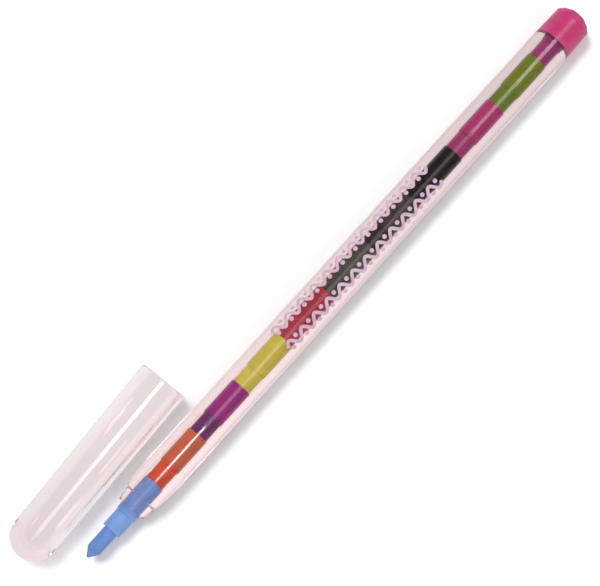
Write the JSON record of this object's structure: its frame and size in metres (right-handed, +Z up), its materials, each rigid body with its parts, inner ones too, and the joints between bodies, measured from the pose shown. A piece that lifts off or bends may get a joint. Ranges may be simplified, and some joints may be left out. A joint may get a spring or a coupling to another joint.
{
  "type": "stacking crayon",
  "caption": "Clear pink stacking crayon: coloured lead cartridges stand nose to tail in a see-through barrel with a rear collar, and a round-ended clear cap lies beside it.",
  "frame": {"origin": "on the table, under the middle of the box round the pen and its cap", "axes": "+X along the pen from its nose to its tail, +Y towards the cap, +Z up from the table"},
  "size_m": [0.1592, 0.0222, 0.0107],
  "materials": {
    "clear_pink_plastic": "clear, polished",
    "pink_plastic": "satin moulded",
    "blue_plastic": "satin moulded",
    "blue_wax": "waxy, matt",
    "orange_plastic": "satin moulded",
    "orange_wax": "waxy, matt",
    "violet_plastic": "satin moulded",
    "violet_wax": "waxy, matt",
    "yellow_plastic": "satin moulded",
    "yellow_wax": "waxy, matt",
    "red_plastic": "satin moulded",
    "red_wax": "waxy, matt",
    "dark_green_plastic": "satin moulded",
    "dark_green_wax": "waxy, matt",
    "brown_plastic": "satin moulded",
    "brown_wax": "waxy, matt",
    "black_plastic": "satin moulded",
    "black_wax": "waxy, matt",
    "magenta_plastic": "satin moulded",
    "magenta_wax": "waxy, matt",
    "green_plastic": "satin moulded",
    "green_wax": "waxy, matt",
    "purple_plastic": "satin moulded",
    "purple_wax": "waxy, matt"
  },
  "bodies": {
    "barrel": {"barrel": "clear_pink_plastic", "rear_collar": "pink_plastic"},
    "cap": {"cap": "clear_pink_plastic"},
    "blue_cartridge": {"blue_holder": "blue_plastic", "blue_lead": "blue_wax"},
    "orange_cartridge": {"orange_holder": "orange_plastic", "orange_lead": "orange_wax"},
    "violet_cartridge": {"violet_holder": "violet_plastic", "violet_lead": "violet_wax"},
    "yellow_cartridge": {"yellow_holder": "yellow_plastic", "yellow_lead": "yellow_wax"},
    "red_cartridge": {"red_holder": "red_plastic", "red_lead": "red_wax"},
    "dark_green_cartridge": {"dark_green_holder": "dark_green_plastic", "dark_green_lead": "dark_green_wax"},
    "brown_cartridge": {"brown_holder": "brown_plastic", "brown_lead": "brown_wax"},
    "black_cartridge": {"black_holder": "black_plastic", "black_lead": "black_wax"},
    "magenta_cartridge": {"magenta_holder": "magenta_plastic", "magenta_lead": "magenta_wax"},
    "green_cartridge": {"green_holder": "green_plastic", "green_lead": "green_wax"},
    "purple_cartridge": {"purple_holder": "purple_plastic", "purple_lead": "purple_wax"}
  },
  "joints": [
    {"name": "stack_feed", "type": "slide", "parent": "barrel", "child": "purple_cartridge", "axis": [-1, 0, 0], "range_m": [0, 0.013]},
    {"name": "orange_feed", "type": "slide", "parent": "barrel", "child": "orange_cartridge", "axis": [-1, 0, 0], "range_m": [0, 0.013]},
    {"name": "violet_feed", "type": "slide", "parent": "barrel", "child": "violet_cartridge", "axis": [-1, 0, 0], "range_m": [0, 0.013]},
    {"name": "yellow_feed", "type": "slide", "parent": "barrel", "child": "yellow_cartridge", "axis": [-1, 0, 0], "range_m": [0, 0.013]},
    {"name": "red_feed", "type": "slide", "parent": "barrel", "child": "red_cartridge", "axis": [-1, 0, 0], "range_m": [0, 0.013]},
    {"name": "dark_green_feed", "type": "slide", "parent": "barrel", "child": "dark_green_cartridge", "axis": [-1, 0, 0], "range_m": [0, 0.013]},
    {"name": "brown_feed", "type": "slide", "parent": "barrel", "child": "brown_cartridge", "axis": [-1, 0, 0], "range_m": [0, 0.013]},
    {"name": "black_feed", "type": "slide", "parent": "barrel", "child": "black_cartridge", "axis": [-1, 0, 0], "range_m": [0, 0.013]},
    {"name": "magenta_feed", "type": "slide", "parent": "barrel", "child": "magenta_cartridge", "axis": [-1, 0, 0], "range_m": [0, 0.013]},
    {"name": "green_feed", "type": "slide", "parent": "barrel", "child": "green_cartridge", "axis": [-1, 0, 0], "range_m": [0, 0.013]},
    {"name": "point_pull", "type": "slide", "parent": "orange_cartridge", "child": "blue_cartridge", "axis": [-1, 0, 0], "range_m": [0, 0.02]},
    {"name": "cap_slide", "type": "slide", "parent": "barrel", "child": "cap", "axis": [-0.9989, -0.0468, 0], "range_m": [0, 0.031]}
  ],
  "couplings": [
    {"joint": "orange_feed", "follows": "stack_feed", "ratio": 1},
    {"joint": "violet_feed", "follows": "stack_feed", "ratio": 1},
    {"joint": "yellow_feed", "follows": "stack_feed", "ratio": 1},
    {"joint": "red_feed", "follows": "stack_feed", "ratio": 1},
    {"joint": "dark_green_feed", "follows": "stack_feed", "ratio": 1},
    {"joint": "brown_feed", "follows": "stack_feed", "ratio": 1},
    {"joint": "black_feed", "follows": "stack_feed", "ratio": 1},
    {"joint": "magenta_feed", "follows": "stack_feed", "ratio": 1},
    {"joint": "green_feed", "follows": "stack_feed", "ratio": 1}
  ]
}
